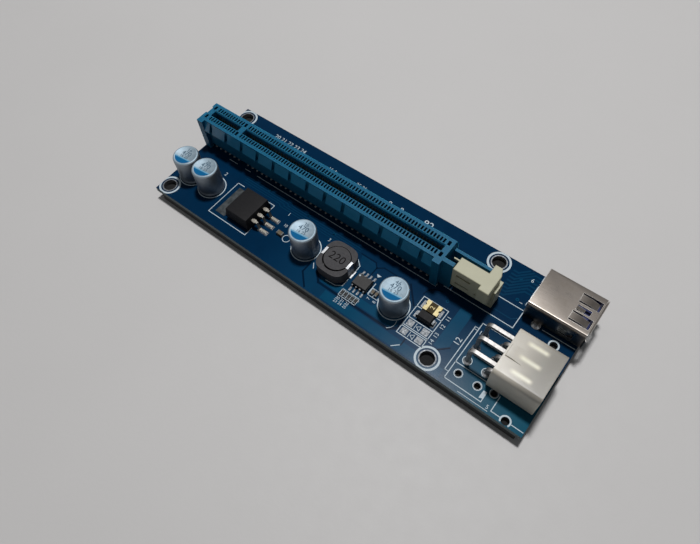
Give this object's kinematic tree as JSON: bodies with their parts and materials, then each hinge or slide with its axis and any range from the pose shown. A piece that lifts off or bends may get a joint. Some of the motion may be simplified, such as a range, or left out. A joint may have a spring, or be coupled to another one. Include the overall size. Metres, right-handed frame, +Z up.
{
  "type": "pcie riser card",
  "caption": "Bare riser board on a foam pad with a long card slot and its sliding latch, a USB socket, a power header and a small step-down converter.",
  "frame": {"origin": "centre of the bounding box in plan, at the underside of the foam pad", "axes": "+X along the board towards the USB and power end, +Y towards the long edge that carries the card slot, +Z up out of the board"},
  "size_m": [0.1284, 0.042, 0.0154],
  "materials": {
    "board": "semi-gloss solder mask",
    "foam": "matt closed-cell foam",
    "slot_plastic": "satin moulded",
    "latch_plastic": "satin moulded",
    "gold_contact": "bright",
    "tin_sheet": "tin plated",
    "usb_plastic": "glossy moulded",
    "nylon": "translucent natural nylon",
    "tinned_pin": "tin plated",
    "can_aluminium": "bright drawn",
    "package": "matt moulded",
    "tinned_copper": "tin plated",
    "ferrite": "matt",
    "base_plastic": "matt",
    "fuse_polymer": "matt",
    "gold_plate": "gold plated",
    "ceramic_tan": "fired ceramic",
    "ceramic_black": "fired ceramic"
  },
  "bodies": {
    "board": {"pcb": "board", "foam_pad": "foam", "slot_housing": "slot_plastic", "slot_contacts_near": "gold_contact", "slot_contacts_far": "gold_contact", "usb_shell": "tin_sheet", "usb_insulator": "usb_plastic", "usb_flat_contacts": "gold_contact", "usb_spring_contacts": "gold_contact", "power_housing": "nylon", "power_pins_lower": "tinned_pin", "power_pins_upper": "tinned_pin", "regulator_body": "package", "regulator_tab": "tinned_copper", "regulator_leads": "tinned_copper", "inductor_shield": "ferrite", "inductor_core": "ferrite", "inductor_base": "base_plastic", "inductor_clips": "tinned_copper", "converter_body": "package", "converter_leads": "tinned_copper", "fuse_body": "fuse_polymer", "fuse_ends": "gold_plate", "diode_body": "package", "diode_leads": "tinned_copper", "resistor_bodies": "ceramic_black", "resistor_ends": "tinned_copper", "ceramic_capacitors": "ceramic_tan", "ceramic_capacitor_ends": "tinned_copper", "capacitor_can_1": "can_aluminium", "capacitor_can_2": "can_aluminium", "capacitor_can_3": "can_aluminium", "capacitor_can_4": "can_aluminium"},
    "latch": {"slot_latch": "latch_plastic"}
  },
  "joints": [
    {"name": "latch_slide", "type": "slide", "parent": "board", "child": "latch", "axis": [0, -1, 0], "range_m": [0, 0.0018], "stiffness_N_per_m": 400}
  ]
}
